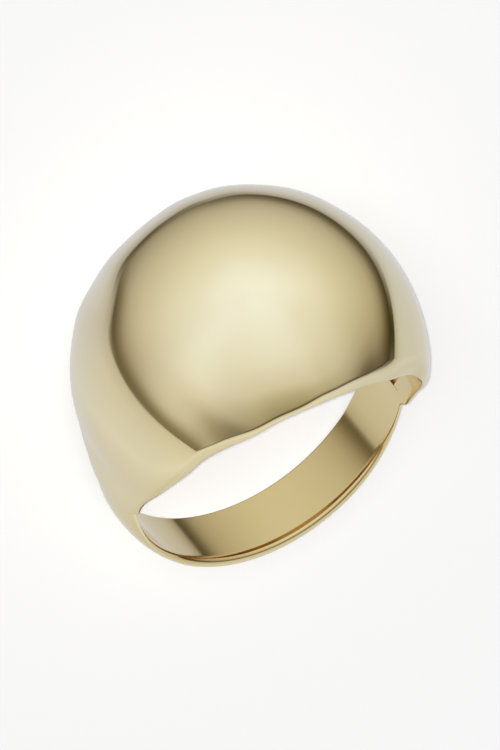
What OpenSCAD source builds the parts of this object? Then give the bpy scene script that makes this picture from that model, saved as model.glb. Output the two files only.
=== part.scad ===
// Polished dome ring: a round hollow dome over the finger on a narrow thin band, lying on its side.
// The ring is worked out standing up, with the finger hole along Y and the dome at the top,
// and is then laid on its back edge. The origin is the centre of the finger hole.

/* [Finger hole] */
// Diameter of the finger hole
hole_d = 17.3; // [15:0.1:21]

/* [Dome] */
// Width of the dome's rim, along the finger
rim_w = 17.2; // [13:0.05:18]
// Width of the dome across the finger, wider than the finger hole
dome_w = 19.9; // [19.2:0.1:22]
// Height of the dome above the finger hole
dome_h = 5.5; // [3.5:0.05:6]
// Height of the dome's widest place above the hole's centre
dome_mid = 4.3; // [3:0.1:5.5]
// Thickness of the rim's flat face around the finger hole
rim_t = 0.72; // [0.4:0.02:0.9]

/* [Hollow] */
// Thickness of the metal over the hollow
wall_t = 0.55; // [0.4:0.05:0.9]
// Width of the solid edge between the hollow and the rim
land_w = 1.6; // [1.2:0.05:2.2]
// Least depth of the hollow, at its two ends
hollow_min = 0.2; // [0.15:0.05:0.4]
// Angle from the top at which the hollow ends, on both sides
hollow_a = 90; // [80:1:90]

/* [Shank] */
// Width of the shank
shank_w = 3.95; // [3:0.05:5]
// Thickness of the shank along its middle
shank_t = 0.68; // [0.6:0.02:1.2]
// Angle from the top at which the shoulders step down to the shank
shoulder_a = 99.4; // [94:0.2:108]

/* [Hidden] */

hole_r = hole_d / 2;
dome_top = hole_r + dome_h;
shank_r = hole_r + shank_t;

// One row per section: angle from the top, share of the rim's half width, shares of the crown's fall
// that go with the square and the fourth power of the way to the rim, share of the rim's face
ROW_ANGLE = 0;
ROW_WIDTH = 1;
ROW_SQUARE = 2;
ROW_FOURTH = 3;
ROW_FACE = 4;
rows = [
    [0, 1.000, 0.75, 0.15, 1.00],
    [10, 0.990, 0.73, 0.18, 1.02],
    [20, 0.960, 0.72, 0.23, 1.03],
    [30, 0.925, 0.75, 0.25, 1.12],
    [40, 0.845, 0.95, 0.04, 1.30],
    [50, 0.760, 0.91, 0.11, 1.46],
    [60, 0.700, 0.88, -0.09, 0.74],
    [75, 0.550, 0.88, -0.19, 0.50],
    [90, 0.365, 0.80, 0.07, 0.44],
    [105, 0.250, 0.60, 0.03, 0.25],
    [120, 0.235, 0.55, 0.10, 0.32],
    [150, 0.230, 0.60, 0.10, 0.63],
    [180, 0.230, 0.60, 0.10, 0.75]
];

turn_step = 3; // degrees between sections
arc_steps = 20; // steps across the outside of a section
hollow_steps = 40; // steps along the hollow
hollow_arc_steps = 18; // steps across the hollow
corner_steps = 3; // steps round the rim's outer corner
corner_r = 0.12; // reach of that rounding along both sides
corner_share = 0.6; // and its greatest share of the rim's face
crown_min = 0.1; // least height of a section's crown over the rim's face
hollow_fall = 0.3; // share of its least depth that the hollow loses towards its sides
step_half = 2; // half of the angle over which the shoulder steps in
outline_soft = 0.27; // how softly the dome's outline runs into the shank's
inner_r = hole_r - 1; // inside of the blank, cut away by the hole
hole_len = rim_w + 4; // the cutting cylinder runs out of the rim on both sides

// Smooth value between two rows, with the slopes that the rows on both sides give
function slope(col, i) =
    let (j = max(0, i - 1), k = min(len(rows) - 1, i + 1))
    j == i || k == i ? 0 :
    (rows[k][col] - rows[j][col]) / (rows[k][ROW_ANGLE] - rows[j][ROW_ANGLE]);
function in_rows(col, a) =
    let (
        i = max([for (j = [0:len(rows) - 2]) if (rows[j][ROW_ANGLE] <= a) j]),
        w = rows[i + 1][ROW_ANGLE] - rows[i][ROW_ANGLE],
        t = (a - rows[i][ROW_ANGLE]) / w
    )
    rows[i][col] * (1 + 2 * t) * (1 - t) * (1 - t)
    + slope(col, i) * w * t * (1 - t) * (1 - t)
    + rows[i + 1][col] * t * t * (3 - 2 * t)
    - slope(col, i + 1) * w * t * t * (1 - t);

function from_top(a) = a > 180 ? 360 - a : a;
function eased(t) = let (s = min(1, max(0, t))) s * s * (3 - 2 * s);

// Radius of the dome's outline in a view along the finger, an ellipse around a point above the centre
dome_a = dome_w / 2;
dome_c = dome_top - dome_mid;
function ellipse_r(a) =
    let (
        p = pow(sin(a) / dome_a, 2) + pow(cos(a) / dome_c, 2),
        q = dome_mid * cos(a) / (dome_c * dome_c),
        s = pow(dome_mid / dome_c, 2) - 1
    )
    (q + sqrt(q * q - p * s)) / p;
function outline_r(a) =
    let (d = ellipse_r(a), b = shank_r)
    (d + b + sqrt(pow(d - b, 2) + outline_soft * outline_soft * eased((180 - a) / 90))) / 2;

function dome_half(a) = rim_w / 2 * in_rows(ROW_WIDTH, a);
function half_w(a) =
    let (t = eased((a - shoulder_a + step_half) / (2 * step_half)))
    dome_half(a) * (1 - t) + shank_w / 2 * t;
function face_t(a) = min(rim_t * in_rows(ROW_FACE, a), outline_r(a) - hole_r - crown_min);

// Height of the crown over the chord of a section, from 1 in the middle to 0 at the rim
function crown(u, a) =
    let (square = in_rows(ROW_SQUARE, a), fourth = in_rows(ROW_FOURTH, a))
    1 - square * pow(u, 2) - fourth * pow(u, 4) - (1 - square - fourth) * pow(u, 8);
function outside(u, a) =
    let (f = hole_r + face_t(a))
    [half_w(a) * u, f + (outline_r(a) - f) * crown(u, a)];

function corner_reach(a) = min(corner_r, corner_share * face_t(a));

// The rim's corner, from a point on the crown down to a point on the flat face
function corner(a, side) =
    let (
        w = half_w(a),
        r = corner_reach(a),
        p = outside(1 - r / w, a),
        c = [w, hole_r + face_t(a)],
        q = [w, c[1] - r]
    )
    [for (i = [0:corner_steps])
        let (t = i / corner_steps, v = p * (1 - t) * (1 - t) + c * 2 * t * (1 - t) + q * t * t)
        [side * v[0], v[1]]];
function reversed(l) = [for (i = [len(l) - 1:-1:0]) l[i]];
function section(a) =
    let (
        w = half_w(a),
        span = 1 - corner_reach(a) / w,
        mid = [for (i = [1:arc_steps - 1]) outside(span * sin(180 * i / arc_steps - 90), a)]
    )
    concat([[-w, inner_r]], reversed(corner(a, -1)), mid, corner(a, 1), [[w, inner_r]]);

// The hollow's section: under the dome's wall and inside the solid edge
function hollow_w(a) = dome_half(a) - land_w;
function hollow_r(u, a) =
    let (s = hollow_w(a) / dome_half(a) * u, r = outside(s, a)[1] - wall_t)
    max(r, hole_r + hollow_min * (1 - hollow_fall * u * u));
function hollow_section(a) =
    concat(
        [[-hollow_w(a), inner_r]],
        [for (i = [0:hollow_arc_steps])
            let (u = 2 * i / hollow_arc_steps - 1)
            [hollow_w(a) * u, hollow_r(u, a)]],
        [[hollow_w(a), inner_r]]
    );

// A point of a section, turned by its angle around the finger hole
function placed(p, a) = [p[1] * sin(a), p[0], p[1] * cos(a)];

// A skin over sections that all have m points, closed into a loop or capped at its ends
function skin_faces(n, m, closed) = concat(
    [for (i = [0:(closed ? n - 1 : n - 2)], j = [0:m - 1])
        let (i2 = (i + 1) % n, j2 = (j + 1) % m)
        each [[i * m + j, i * m + j2, i2 * m + j2], [i * m + j, i2 * m + j2, i2 * m + j]]],
    closed ? [] : [[for (j = [m - 1:-1:0]) j], [for (j = [0:m - 1]) (n - 1) * m + j]]
);

module blank() {
    turns = [for (a = [0:turn_step:360 - turn_step]) a];
    sections = [for (a = turns) section(from_top(a))];
    polyhedron(
        points = [for (i = [0:len(turns) - 1], p = sections[i]) placed(p, turns[i])],
        faces = skin_faces(len(turns), len(sections[0]), true)
    );
}

module hollow() {
    turns = [for (i = [0:hollow_steps]) hollow_a * (2 * i / hollow_steps - 1)];
    sections = [for (a = turns) hollow_section(abs(a))];
    polyhedron(
        points = [for (i = [0:len(turns) - 1], p = sections[i]) placed(p, turns[i])],
        faces = skin_faces(len(turns), len(sections[0]), false)
    );
}

// The ring lies on the top of the dome's rim and on the shank's edge, which gives its angle
rest_y = (rim_w - shank_w) / 2;
rest_z = 2 * hole_r + face_t(180) - corner_r / 2;
lie_a = atan2(rest_y, rest_z);

module ring() {
    color("khaki")
    rotate([lie_a - 90, 0, 180])
    difference() {
        blank();
        rotate([90, 0, 0])
        cylinder(r = hole_r, h = hole_len, center = true, $fn = 180);
        hollow();
    }
}

ring();
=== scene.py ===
import math

import bmesh
import bpy
from mathutils import Matrix, Vector


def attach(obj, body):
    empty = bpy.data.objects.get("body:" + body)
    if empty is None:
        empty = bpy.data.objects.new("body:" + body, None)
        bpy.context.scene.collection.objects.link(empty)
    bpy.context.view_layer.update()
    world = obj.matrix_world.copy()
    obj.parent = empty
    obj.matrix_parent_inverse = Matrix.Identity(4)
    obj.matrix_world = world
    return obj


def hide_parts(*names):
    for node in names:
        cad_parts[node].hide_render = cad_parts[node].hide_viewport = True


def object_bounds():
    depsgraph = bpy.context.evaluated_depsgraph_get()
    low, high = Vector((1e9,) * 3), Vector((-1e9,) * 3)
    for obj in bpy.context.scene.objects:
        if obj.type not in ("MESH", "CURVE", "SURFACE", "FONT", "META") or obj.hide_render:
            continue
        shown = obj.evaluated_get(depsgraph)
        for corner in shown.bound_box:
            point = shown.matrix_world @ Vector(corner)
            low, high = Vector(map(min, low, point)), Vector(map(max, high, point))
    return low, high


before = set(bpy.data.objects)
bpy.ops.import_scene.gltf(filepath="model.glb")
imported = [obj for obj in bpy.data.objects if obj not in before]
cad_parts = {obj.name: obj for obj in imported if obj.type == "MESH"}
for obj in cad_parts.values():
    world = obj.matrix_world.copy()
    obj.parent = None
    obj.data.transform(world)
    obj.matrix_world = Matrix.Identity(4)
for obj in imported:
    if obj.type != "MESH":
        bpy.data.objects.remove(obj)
cad_low, cad_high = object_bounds()

MM = 0.001

# sizes in millimetres and degrees; angles around the finger count from the top, to the right above
# zero and to the left below it

HOLE_R = 8.65
RIM_W = 17.2
DOME_W = 19.9
DOME_H = 5.5
DOME_MID = 4.3       # height of the dome's widest place above the hole's centre
RIM_T = 0.72         # the rim's flat face round the finger hole
WALL_T = 0.55
LAND_W = 1.6         # the solid edge between the hollow and the rim
HOLLOW_MIN = 0.2
HOLLOW_FALL = 0.3    # share of its least depth that the hollow loses towards its sides
HOLLOW_A = 95.4      # where the hollow ends, on both sides
SHANK_W = 3.95
SHANK_T = 0.68
SHOULDER_A = 99.4
STEP_HALF = 2.0      # half of the angle over which the shoulder steps in
OUTLINE_SOFT = 0.27  # how softly the dome's outline runs into the shank's
CROWN_MIN = 0.1      # least height of the crown over the rim's face
CORNER_R = 0.12      # reach of the rounding at the rim's outer corner
CORNER_SHARE = 0.6   # and its greatest share of the rim's face

# in front that rounding is wider, on the right and on the left, where the rim turns back to the shoulders
FRONT_CORNER = (0.40, 0.3)
FRONT_CORNER_FROM = (16, 56)
FRONT_CORNER_TO = 78
FRONT_CORNER_EASE = 14

# the finger hole's rounded edges: how far they reach along the finger, all the way round, and how deep
# they cut into the dome's rim and into the band
FRONT_REACH, BACK_REACH = 0.42, 0.14
RIM_CUT = 0.09
FRONT_BAND_CUT, BACK_BAND_CUT = 0.35, 0.14
BAND_FROM, BAND_TO = 104.0, 122.0   # the angles between which the one depth turns into the other
EDGE_SHARE = 0.3                    # the greatest share of a face or wall that is cut, on the dome
BAND_SHARE = 0.85                   # and on the band

HOLLOW_EDGE_R = 0.05
HOLLOW_FILLET = 0.5  # the rounding where the hollow's wall meets its roof
FILLET_SHARE = 0.5   # and its greatest share of that wall and of the hollow's half width
LIE_A = 20.4359      # how far the finger hole leans from upright as the ring lies

# angle, share of the rim's half width, shares of the crown's fall that go with the square and the
# fourth power of the way to the rim, share of the rim's face on the right side and on the left
# a least-squares program worked these out from the photo; they are rounded, and the rim's face is partly
# changed afterwards
ANGLE, WIDTH, SQUARE, FOURTH, FACE_RIGHT, FACE_LEFT = range(6)
ROWS = (
    (0, 1.000, 0.75, 0.15, 0.78, 0.78),
    (10, 0.990, 0.73, 0.18, 1.00, 0.42),
    (20, 0.960, 0.72, 0.23, 1.05, 0.44),
    (30, 0.925, 0.75, 0.25, 1.14, 0.62),
    (40, 0.845, 0.95, 0.04, 1.30, 1.05),
    (50, 0.760, 0.91, 0.11, 1.46, 1.42),
    (60, 0.700, 0.88, -0.09, 0.74, 0.76),
    (75, 0.550, 0.88, -0.19, 0.50, 0.50),
    (90, 0.365, 0.80, 0.07, 0.44, 0.44),
    (105, 0.250, 0.60, 0.03, 0.25, 0.25),
    (120, 0.235, 0.55, 0.10, 0.32, 0.32),
    (150, 0.230, 0.60, 0.10, 0.63, 0.63),
    (180, 0.230, 0.60, 0.10, 0.75, 0.75),
)


def in_rows(col, a):
    """Smooth value between two rows."""
    a = abs(a)

    def slope(i):
        if i in (0, len(ROWS) - 1):
            return 0.0
        return (ROWS[i + 1][col] - ROWS[i - 1][col]) / (ROWS[i + 1][ANGLE] - ROWS[i - 1][ANGLE])

    i = max(j for j in range(len(ROWS) - 1) if ROWS[j][ANGLE] <= a)
    w = ROWS[i + 1][ANGLE] - ROWS[i][ANGLE]
    t = (a - ROWS[i][ANGLE]) / w
    return (ROWS[i][col] * (1 + 2 * t) * (1 - t) ** 2 + slope(i) * w * t * (1 - t) ** 2
            + ROWS[i + 1][col] * t * t * (3 - 2 * t) - slope(i + 1) * w * t * t * (1 - t))


def eased(t):
    t = min(1.0, max(0.0, t))
    return t * t * (3 - 2 * t)


def outline_r(a):
    """Radius of the ring's outline, seen along the finger: the dome's ellipse run softly into the band."""
    top = HOLE_R + DOME_H
    across, up = DOME_W / 2, top - DOME_MID
    sa, ca = math.sin(math.radians(a)), math.cos(math.radians(a))
    p = (sa / across) ** 2 + (ca / up) ** 2
    q = DOME_MID * ca / up ** 2
    s = (DOME_MID / up) ** 2 - 1
    dome = (q + math.sqrt(q * q - p * s)) / p
    band = HOLE_R + SHANK_T
    soft = OUTLINE_SOFT ** 2 * eased((180 - abs(a)) / 90)
    return (dome + band + math.sqrt((dome - band) ** 2 + soft)) / 2


def dome_half(a):
    return RIM_W / 2 * in_rows(WIDTH, a)


def past_shoulder(a):
    return eased((abs(a) - SHOULDER_A + STEP_HALF) / (2 * STEP_HALF))


def half_w(a):
    t = past_shoulder(a)
    return dome_half(a) * (1 - t) + SHANK_W / 2 * t


def face_t(a):
    share = in_rows(FACE_RIGHT if a >= 0 else FACE_LEFT, a)
    return min(RIM_T * share, outline_r(a) - HOLE_R - CROWN_MIN)


def outside(y, a):
    """Radius of the polished outside at a place y along the finger."""
    u = min(1.0, y / half_w(a))
    square, fourth = in_rows(SQUARE, a), in_rows(FOURTH, a)
    foot = HOLE_R + face_t(a)
    fall = square * u ** 2 + fourth * u ** 4 + (1 - square - fourth) * u ** 8
    return foot + (outline_r(a) - foot) * (1 - fall)


def hollow_depth(y, a):
    """Depth of the hollow from the finger hole's wall, at a place y along the finger."""
    half = dome_half(a) - LAND_W
    scaled = y / dome_half(a) * half_w(a)
    return max(outside(scaled, a) - WALL_T - HOLE_R, HOLLOW_MIN * (1 - HOLLOW_FALL * (y / half) ** 2))


def arc(centre, radius, start, end, steps):
    angles = [math.radians(start + (end - start) * i / steps) for i in range(steps + 1)]
    return [(centre[0] + radius * math.cos(t), centre[1] + radius * math.sin(t)) for t in angles]


def line(p, q, steps):
    """Points from p to q, without the two ends."""
    return [tuple(p[k] + (q[k] - p[k]) * i / steps for k in (0, 1)) for i in range(1, steps)]


# steps along the parts of half a section, from the middle of the crown to the middle of the hollow
CROWN_STEPS = 34
CORNER_STEPS = 8
FACE_STEPS = 3
EDGE_STEPS = 10
LAND_STEPS = 8
LIP_STEPS = 4
WALL_STEPS = 3
FILLET_STEPS = 6
ROOF_STEPS = 20
INSIDE_FROM = CROWN_STEPS + CORNER_STEPS + FACE_STEPS   # the place where the finger hole's edge starts
HOLLOW_FROM = INSIDE_FROM + EDGE_STEPS + LAND_STEPS + LIP_STEPS   # and where the hollow's edge ends
PAST_EDGE_STEPS = LAND_STEPS + LIP_STEPS + WALL_STEPS + FILLET_STEPS + ROOF_STEPS


def front_corner(a):
    """Reach of the rounding at the front rim's outer corner."""
    i = 0 if a > 0 else 1
    share = eased((abs(a) - FRONT_CORNER_FROM[i]) / FRONT_CORNER_EASE)
    share *= 1 - eased((abs(a) - FRONT_CORNER_TO) / FRONT_CORNER_EASE)
    return CORNER_R + (FRONT_CORNER[i] - CORNER_R) * share


def half_section(a, corner, reach, band_cut):
    """Points from the middle of the crown out over the rim and in to the middle of the hollow or hole."""
    w, face = half_w(a), face_t(a)
    foot = HOLE_R + face
    in_band = eased((abs(a) - BAND_FROM) / (BAND_TO - BAND_FROM))
    cut = min(RIM_CUT, EDGE_SHARE * face) * (1 - in_band) + min(band_cut, BAND_SHARE * face) * in_band
    r = min(corner, CORNER_SHARE * face, face - cut)

    points = []
    for i in range(CROWN_STEPS):
        y = (w - r) * math.sin(math.pi / 2 * i / CROWN_STEPS)
        points.append((y, outside(y, a)))
    p, c, q = (w - r, outside(w - r, a)), (w, foot), (w, foot - r)
    for i in range(CORNER_STEPS + 1):
        t = i / CORNER_STEPS
        points.append(tuple(p[k] * (1 - t) ** 2 + c[k] * 2 * t * (1 - t) + q[k] * t * t for k in (0, 1)))
    points += line(q, (w, HOLE_R + cut), FACE_STEPS)
    for y, down in arc((0, 0), cut, 0, -90, EDGE_STEPS):
        points.append((w - reach + reach / cut * y, HOLE_R + cut + down))
    start = (w - reach, HOLE_R)
    if abs(a) >= HOLLOW_A:
        return points + line(start, (0, HOLE_R), PAST_EDGE_STEPS) + [(0, HOLE_R)]

    half = dome_half(a) - LAND_W
    wall = hollow_depth(half, a)
    lip = min(HOLLOW_EDGE_R, EDGE_SHARE * wall)
    fillet = min(HOLLOW_FILLET, FILLET_SHARE * wall, FILLET_SHARE * half)
    roof = HOLE_R + hollow_depth(half - fillet, a)
    points += line(start, (half + lip, HOLE_R), LAND_STEPS)
    points += arc((half + lip, HOLE_R + lip), lip, -90, -180, LIP_STEPS)
    points += line((half, HOLE_R + lip), (half, roof - fillet), WALL_STEPS)
    points += arc((half - fillet, roof - fillet), fillet, 0, 90, FILLET_STEPS)
    for i in range(1, ROOF_STEPS + 1):
        y = (half - fillet) * (1 - i / ROOF_STEPS)
        points.append((y, HOLE_R + hollow_depth(y, a)))
    return points


def turn_angles():
    """Angles of the sections round the finger, closer at the shoulders' steps and the hollow's ends."""
    side = [i * 1.5 for i in range(62)] + [93.0, 94.0, 94.8, 95.3, 95.7, 96.3]
    side += [97.0 + 0.3 * i for i in range(18)] + [103.0 + 1.75 * i for i in range(44)]
    return [-a for a in reversed(side[1:])] + side + [180.0]


LIE = Matrix((
    (-1, 0, 0),
    (0, -math.sin(math.radians(LIE_A)), -math.cos(math.radians(LIE_A))),
    (0, -math.cos(math.radians(LIE_A)), math.sin(math.radians(LIE_A))),
))


TURN_R = 5           # radius of the loop before its points take their places
SAME_PLACE = 1e-8    # points closer than this, in metres, become one
SHARP_A = 38         # edges that turn by more stay sharp
OUTSIDE, INSIDE, HOLLOW = range(3)   # the golds' places on the mesh; the inside and hollow places take darker golds, painted shade


def make_ring():
    """One loop of points turned round the finger, each point then moved to its place in its section."""
    turns = turn_angles()
    back_halves = [half_section(a, CORNER_R, BACK_REACH, BACK_BAND_CUT) for a in turns]
    front_halves = [half_section(a, front_corner(a), FRONT_REACH, FRONT_BAND_CUT) for a in turns]
    count = 2 * (len(back_halves[0]) - 1)
    bm = bmesh.new()
    loop = bmesh.ops.create_circle(bm, cap_ends=False, segments=count, radius=1.0)
    loop_turn = Matrix.Translation((0, 0, TURN_R)) @ Matrix.Rotation(math.radians(90), 4, "Y")
    bmesh.ops.transform(bm, matrix=loop_turn, verts=loop["verts"])
    bmesh.ops.spin(bm, geom=bm.verts[:] + bm.edges[:], cent=(0, 0, 0), axis=(0, 1, 0),
                   angle=math.radians(360), steps=len(turns), use_merge=True)

    def places(x, y, z):
        """Place round the finger and place along the loop, both counted in steps."""
        turn = math.degrees(math.atan2(x, z)) % 360 / 360 * len(turns)
        along = math.degrees(math.atan2(y, math.hypot(x, z) - TURN_R)) % 360 / 360 * count
        return turn, along

    # faces in the bore and in the hollow get the darker golds, which paint their shade
    for f in bm.faces:
        turn, along = places(*f.calc_center_median())
        along = min(along, count - along)
        in_hollow = along > HOLLOW_FROM and abs(turns[int(turn)]) < HOLLOW_A
        f.material_index = OUTSIDE if along < INSIDE_FROM else HOLLOW if in_hollow else INSIDE
    for v in bm.verts:
        turn, along = places(*v.co)
        i, k = round(turn) % len(turns), round(along) % count
        behind = k <= count // 2
        y, r = back_halves[i][k] if behind else front_halves[i][count - k]
        t = math.radians(turns[i])
        v.co = Vector((r * math.sin(t), y if behind else -y, r * math.cos(t))) * MM
    bmesh.ops.remove_doubles(bm, verts=bm.verts[:], dist=SAME_PLACE)
    bmesh.ops.rotate(bm, verts=bm.verts[:], cent=(0, 0, 0), matrix=LIE)
    bmesh.ops.recalc_face_normals(bm, faces=bm.faces[:])
    for f in bm.faces:
        f.smooth = True
    mesh = bpy.data.meshes.new("gold_ring")
    bm.to_mesh(mesh)
    bm.free()
    mesh.set_sharp_from_angle(angle=math.radians(SHARP_A))
    ring = bpy.data.objects.new("gold_ring", mesh)
    bpy.context.collection.objects.link(ring)
    return ring


# polished gold

def node(tree, kind, at, **values):
    made = tree.nodes.new(kind)
    made.location = at
    for name, value in values.items():
        setattr(made, name, value)
    return made


def ramp_stops(ramp, stops):
    elements = ramp.color_ramp.elements
    while len(elements) < len(stops):
        elements.new(0.5)
    for element, (place, colour) in zip(elements, stops):
        element.position = place
        element.color = (*colour, 1)


ROUGH_SPREAD = 0.04  # how much rougher the softer patches are


def polished_gold(name, pale, deep, soft):
    mat = bpy.data.materials.new(name)
    mat.use_nodes = True
    tree = mat.node_tree
    link = tree.links.new
    shader = tree.nodes["Principled BSDF"]
    shader.inputs["Metallic"].default_value = 1.0
    place = node(tree, "ShaderNodeTexCoord", (-1100, 0))

    # the alloy's tint wanders very slightly over the ring
    clouds = node(tree, "ShaderNodeTexNoise", (-800, 300))
    clouds.inputs["Scale"].default_value = 180
    clouds.inputs["Detail"].default_value = 3
    link(place.outputs["Object"], clouds.inputs["Vector"])
    tint = node(tree, "ShaderNodeValToRGB", (-500, 300))
    ramp_stops(tint, ((0.3, deep), (0.7, pale)))
    link(clouds.outputs["Fac"], tint.inputs["Fac"])
    link(tint.outputs["Color"], shader.inputs["Base Color"])

    # hairlines from polishing, long in one direction, and softer patches where it was handled
    stretch = node(tree, "ShaderNodeMapping", (-900, -200))
    stretch.inputs["Rotation"].default_value = (0.3, 0.5, 0.2)
    stretch.inputs["Scale"].default_value = (900, 9000, 9000)
    link(place.outputs["Object"], stretch.inputs["Vector"])
    hairs = node(tree, "ShaderNodeTexNoise", (-700, -200))
    hairs.inputs["Scale"].default_value = 1
    hairs.inputs["Detail"].default_value = 2
    link(stretch.outputs["Vector"], hairs.inputs["Vector"])
    rough = node(tree, "ShaderNodeMapRange", (-500, 0))
    rough.inputs["From Min"].default_value = 0.35
    rough.inputs["From Max"].default_value = 0.75
    rough.inputs["To Min"].default_value = soft
    rough.inputs["To Max"].default_value = soft + ROUGH_SPREAD
    link(clouds.outputs["Fac"], rough.inputs["Value"])
    link(rough.outputs["Result"], shader.inputs["Roughness"])
    bump = node(tree, "ShaderNodeBump", (-250, -200))
    bump.inputs["Strength"].default_value = 0.2
    bump.inputs["Distance"].default_value = 0.000001
    link(hairs.outputs["Fac"], bump.inputs["Height"])
    link(bump.outputs["Normal"], shader.inputs["Normal"])
    return mat


ring = make_ring()
# name, tint where it is pale and where it is deep, least roughness; the inside and hollow golds are
# darker, warmer copies of the outside gold: painted shade in the bore and the hollow
for gold in (
    ("outside_gold", (0.925, 0.808, 0.508), (0.915, 0.792, 0.492), 0.05),
    ("inside_gold_painted_shade", (0.83, 0.675, 0.355), (0.81, 0.655, 0.335), 0.10),
    ("hollow_gold_painted_shade", (0.74, 0.50, 0.20), (0.70, 0.46, 0.17), 0.25),
):
    ring.data.materials.append(polished_gold(*gold))
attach(ring, "root")
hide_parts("ring")

# pale floor, which the gold doesn't mirror

FLOOR_HALF = 2.0
FLOOR_GAP = 0.00001

bm = bmesh.new()
bmesh.ops.create_grid(bm, x_segments=4, y_segments=4, size=FLOOR_HALF)
bmesh.ops.translate(bm, verts=bm.verts[:], vec=(0, 0, cad_low[2] - FLOOR_GAP))
floor_mesh = bpy.data.meshes.new("floor")
bm.to_mesh(floor_mesh)
bm.free()
floor = bpy.data.objects.new("floor", floor_mesh)
bpy.context.collection.objects.link(floor)
paper = bpy.data.materials.new("pale_paper")
paper.use_nodes = True
sheet = paper.node_tree.nodes["Principled BSDF"].inputs
sheet["Base Color"].default_value = (0.82, 0.82, 0.82, 1)
sheet["Roughness"].default_value = 1.0
sheet["Specular IOR Level"].default_value = 0.0
floor_mesh.materials.append(paper)
floor.visible_glossy = False

# camera: its angles to the ring standing up, the picture's scale and the hole's centre in the picture

LOOK_EL, LOOK_AZ = math.radians(45), math.radians(-30)
PICTURE_W, PICTURE_H = 500, 750
PX_PER_MM = 17.871
HOLE_X, HOLE_Y = 250.28, 416.62
CAMERA_AWAY = 0.4

across = math.cos(LOOK_EL)
back = LIE @ Vector((math.sin(LOOK_AZ) * across, -math.cos(LOOK_AZ) * across, math.sin(LOOK_EL)))
right = LIE @ Vector((math.cos(LOOK_AZ), math.sin(LOOK_AZ), 0))
up = back.cross(right)
aim = (right * (PICTURE_W / 2 - HOLE_X) + up * (HOLE_Y - PICTURE_H / 2)) * (MM / PX_PER_MM)
camera = bpy.data.objects.new("camera", bpy.data.cameras.new("camera"))
bpy.context.collection.objects.link(camera)
camera.data.type = "ORTHO"
camera.data.ortho_scale = PICTURE_H / PX_PER_MM * MM
camera.data.clip_start, camera.data.clip_end = 0.01, 10
turned = Matrix((right, up, back)).transposed().to_4x4()
camera.matrix_world = Matrix.Translation(aim + back * CAMERA_AWAY) @ turned
bpy.context.scene.camera = camera

# studio light: a key and a soft fill, both from the camera's side, for the floor

def soft_sun(name, towards, strength, spread):
    lamp = bpy.data.objects.new(name, bpy.data.lights.new(name, "SUN"))
    bpy.context.collection.objects.link(lamp)
    lamp.data.energy = strength
    lamp.data.angle = math.radians(spread)
    lamp.rotation_mode = "QUATERNION"
    lamp.rotation_quaternion = towards.to_track_quat("Z", "Y")
    lamp.visible_glossy = False


soft_sun("key", back, 3.5, 1.2)
soft_sun("fill", back, 0.83, 30)

# the round tent that the gold mirrors, around the ring: pale ground, a dark line at eye height and a sky
# that brightens upward, each a little different towards five sides

TENT_R = 0.0947
TENT_Z = 0.0093      # its middle, above the finger hole's centre with the ring upright

# light by the angle above eye height, from the ground up; for all the stops below, programs divided the
# photo's colours on the metal by the gold's own and sorted them by direction and height, and the results
# were rounded and partly changed afterwards
ALL_ROUND = (
    (-75, (0.65, 0.64, 0.60)),
    (-40, (0.70, 0.73, 0.82)),
    (-15, (0.63, 0.65, 0.75)),
    (-8, (0.55, 0.55, 0.60)),
    (-4.2, (0.43, 0.42, 0.42)),
    (-2.6, (0.09, 0.07, 0.05)),
    (0.5, (0.11, 0.10, 0.07)),
    (4, (0.21, 0.19, 0.15)),
    (8, (0.37, 0.35, 0.31)),
    (14, (0.50, 0.48, 0.44)),
    (22, (0.59, 0.57, 0.53)),
    (40, (0.72, 0.72, 0.68)),
    (60, (0.84, 0.87, 0.89)),
    (88, (0.97, 1.06, 1.24)),
)
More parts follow.
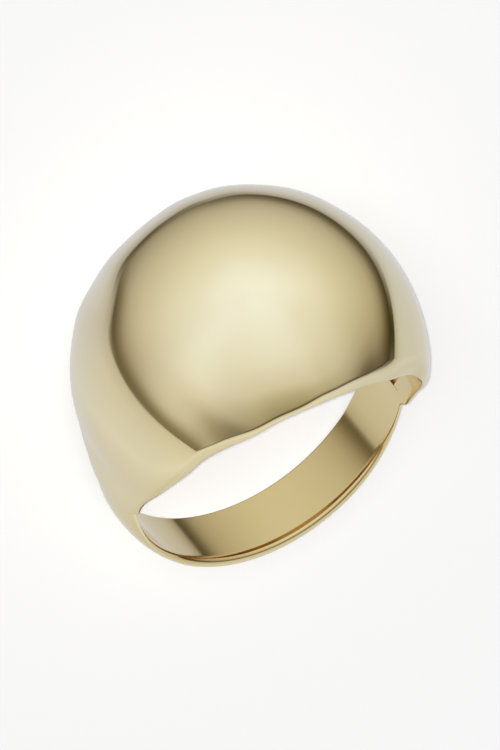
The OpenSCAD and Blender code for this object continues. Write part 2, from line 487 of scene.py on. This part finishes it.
# towards each side: where it faces, how narrow it is, and its light in the same way
SIDES = (
    (-10, 7, (
        (-75, (0.75, 0.75, 0.70)),
        (-40, (0.88, 0.88, 0.86)),
        (-15, (0.70, 0.70, 0.72)),
        (-8, (0.60, 0.60, 0.60)),
        (-4, (0.20, 0.18, 0.12)),
        (1, (0.10, 0.08, 0.04)),
        (8, (0.34, 0.31, 0.22)),
        (12, (0.44, 0.41, 0.31)),
        (16, (0.53, 0.50, 0.42)),
        (22, (0.70, 0.69, 0.65)),
        (40, (0.85, 0.89, 0.96)),
        (60, (0.91, 0.98, 1.13)),
        (88, (0.97, 1.05, 1.27)),
    )),
    (180, 24, (
        (-75, (0.65, 0.64, 0.60)),
        (-40, (0.70, 0.73, 0.82)),
        (-20, (0.63, 0.65, 0.75)),
        (-10, (0.44, 0.43, 0.44)),
        (-7.5, (0.09, 0.07, 0.05)),
        (-5, (0.13, 0.11, 0.08)),
        (0.5, (0.33, 0.30, 0.26)),
        (4, (0.39, 0.37, 0.32)),
        (11, (0.47, 0.45, 0.41)),
        (20, (0.56, 0.54, 0.50)),
        (40, (0.72, 0.72, 0.68)),
        (60, (0.84, 0.87, 0.89)),
        (88, (0.97, 1.06, 1.24)),
    )),
    (-114, 15, (
        (-75, (0.66, 0.65, 0.60)),
        (-40, (0.76, 0.78, 0.83)),
        (-15, (0.69, 0.69, 0.70)),
        (-5.8, (0.57, 0.56, 0.54)),
        (-4.8, (0.15, 0.13, 0.08)),
        (-1, (0.17, 0.14, 0.09)),
        (3, (0.27, 0.24, 0.18)),
        (7, (0.39, 0.36, 0.30)),
        (14, (0.54, 0.52, 0.47)),
        (22, (0.65, 0.64, 0.60)),
        (40, (0.78, 0.80, 0.81)),
        (60, (0.87, 0.92, 1.00)),
        (88, (0.97, 1.05, 1.25)),
    )),
    (-68, 14, (
        (-75, (0.65, 0.65, 0.55)),
        (-40, (0.79, 0.82, 0.83)),
        (-12, (0.71, 0.70, 0.65)),
        (-5.3, (0.66, 0.65, 0.60)),
        (-4.6, (0.20, 0.17, 0.11)),
        (0, (0.28, 0.25, 0.18)),
        (2.5, (0.43, 0.40, 0.33)),
        (5, (0.63, 0.61, 0.57)),
        (9, (0.76, 0.76, 0.75)),
        (20, (0.85, 0.89, 0.97)),
        (40, (0.89, 0.96, 1.09)),
        (88, (0.95, 1.02, 1.24)),
    )),
    (80, 14, (
        (-75, (0.62, 0.63, 0.60)),
        (-25, (0.69, 0.71, 0.80)),
        (-15, (0.61, 0.64, 0.64)),
        (-9.5, (0.47, 0.47, 0.43)),
        (-8.2, (0.06, 0.05, 0.02)),
        (-1.5, (0.06, 0.05, 0.02)),
        (3, (0.16, 0.13, 0.08)),
        (8, (0.33, 0.30, 0.22)),
        (14, (0.49, 0.46, 0.37)),
        (22, (0.59, 0.58, 0.49)),
        (40, (0.75, 0.75, 0.71)),
        (60, (0.89, 0.92, 0.98)),
        (88, (0.98, 1.07, 1.27)),
    )),
)


def tent_light():
    mat = bpy.data.materials.new("tent_light")
    mat.use_nodes = True
    mat.cycles.emission_sampling = "NONE"
    tree = mat.node_tree
    link = tree.links.new
    tree.nodes.clear()
    place = node(tree, "ShaderNodeTexCoord", (-1900, 0))
    from_middle = node(tree, "ShaderNodeVectorMath", (-1700, 0), operation="SUBTRACT")
    from_middle.inputs[1].default_value = LIE @ Vector((0, 0, TENT_Z))
    link(place.outputs["Object"], from_middle.inputs[0])
    stand = node(tree, "ShaderNodeMapping", (-1500, 0))
    stand.inputs["Rotation"].default_value = LIE.transposed().to_euler()
    link(from_middle.outputs["Vector"], stand.inputs["Vector"])
    way = node(tree, "ShaderNodeVectorMath", (-1300, 0), operation="NORMALIZE")
    link(stand.outputs["Vector"], way.inputs[0])
    parts = node(tree, "ShaderNodeSeparateXYZ", (-1100, 0))
    link(way.outputs["Vector"], parts.inputs["Vector"])
    height = node(tree, "ShaderNodeMapRange", (-700, 0))
    height.inputs["From Min"].default_value = -1
    height.inputs["From Max"].default_value = 1
    link(parts.outputs["Z"], height.inputs["Value"])
    flat = node(tree, "ShaderNodeVectorMath", (-1100, -500), operation="MULTIPLY")
    flat.inputs[1].default_value = (1, 1, 0)
    link(way.outputs["Vector"], flat.inputs[0])
    level = node(tree, "ShaderNodeVectorMath", (-950, -500), operation="NORMALIZE")
    link(flat.outputs["Vector"], level.inputs[0])

    def colours(stops, y):
        ramp = node(tree, "ShaderNodeValToRGB", (-400, y))
        ramp_stops(ramp, [(0.5 + 0.5 * math.sin(math.radians(e)), c) for e, c in stops])
        link(height.outputs["Result"], ramp.inputs["Fac"])
        return ramp.outputs["Color"]

    def towards(facing, narrow, y):
        side = node(tree, "ShaderNodeVectorMath", (-800, y), operation="DOT_PRODUCT")
        turn = math.radians(facing)
        side.inputs[1].default_value = (math.sin(turn), -math.cos(turn), 0)
        link(level.outputs["Vector"], side.inputs[0])
        half = node(tree, "ShaderNodeMath", (-650, y), operation="MULTIPLY_ADD")
        half.inputs[1].default_value = 0.5
        half.inputs[2].default_value = 0.5
        link(side.outputs["Value"], half.inputs[0])
        share = node(tree, "ShaderNodeMath", (-500, y), operation="POWER")
        share.inputs[1].default_value = narrow
        link(half.outputs["Value"], share.inputs[0])
        return share.outputs["Value"]

    glow = colours(ALL_ROUND, 300)
    for i, (facing, narrow, stops) in enumerate(SIDES):
        y = -400 * (i + 1)
        mix = node(tree, "ShaderNodeMix", (-100, y), data_type="RGBA")
        link(towards(facing, narrow, y - 100), mix.inputs["Factor"])
        link(glow, mix.inputs["A"])
        link(colours(stops, y + 100), mix.inputs["B"])
        glow = mix.outputs["Result"]
    light = node(tree, "ShaderNodeEmission", (150, 0))
    link(glow, light.inputs["Color"])
    out = node(tree, "ShaderNodeOutputMaterial", (350, 0))
    link(light.outputs["Emission"], out.inputs["Surface"])
    return mat


bm = bmesh.new()
bmesh.ops.create_uvsphere(bm, u_segments=96, v_segments=48, radius=TENT_R)
bmesh.ops.translate(bm, verts=bm.verts[:], vec=LIE @ Vector((0, 0, TENT_Z)))
bmesh.ops.reverse_faces(bm, faces=bm.faces[:])
tent_mesh = bpy.data.meshes.new("light_tent")
bm.to_mesh(tent_mesh)
bm.free()
tent = bpy.data.objects.new("light_tent", tent_mesh)
bpy.context.collection.objects.link(tent)
tent_mesh.materials.append(tent_light())
for ray in ("camera", "diffuse", "transmission", "volume_scatter", "shadow"):
    setattr(tent, "visible_" + ray, False)

world = bpy.data.worlds.new("studio")
bpy.context.scene.world = world
world.use_nodes = True
world.node_tree.nodes["Background"].inputs["Color"].default_value = (0.7, 0.7, 0.7, 1)
world.cycles_visibility.diffuse = False
bpy.context.scene.view_settings.view_transform = "Standard"
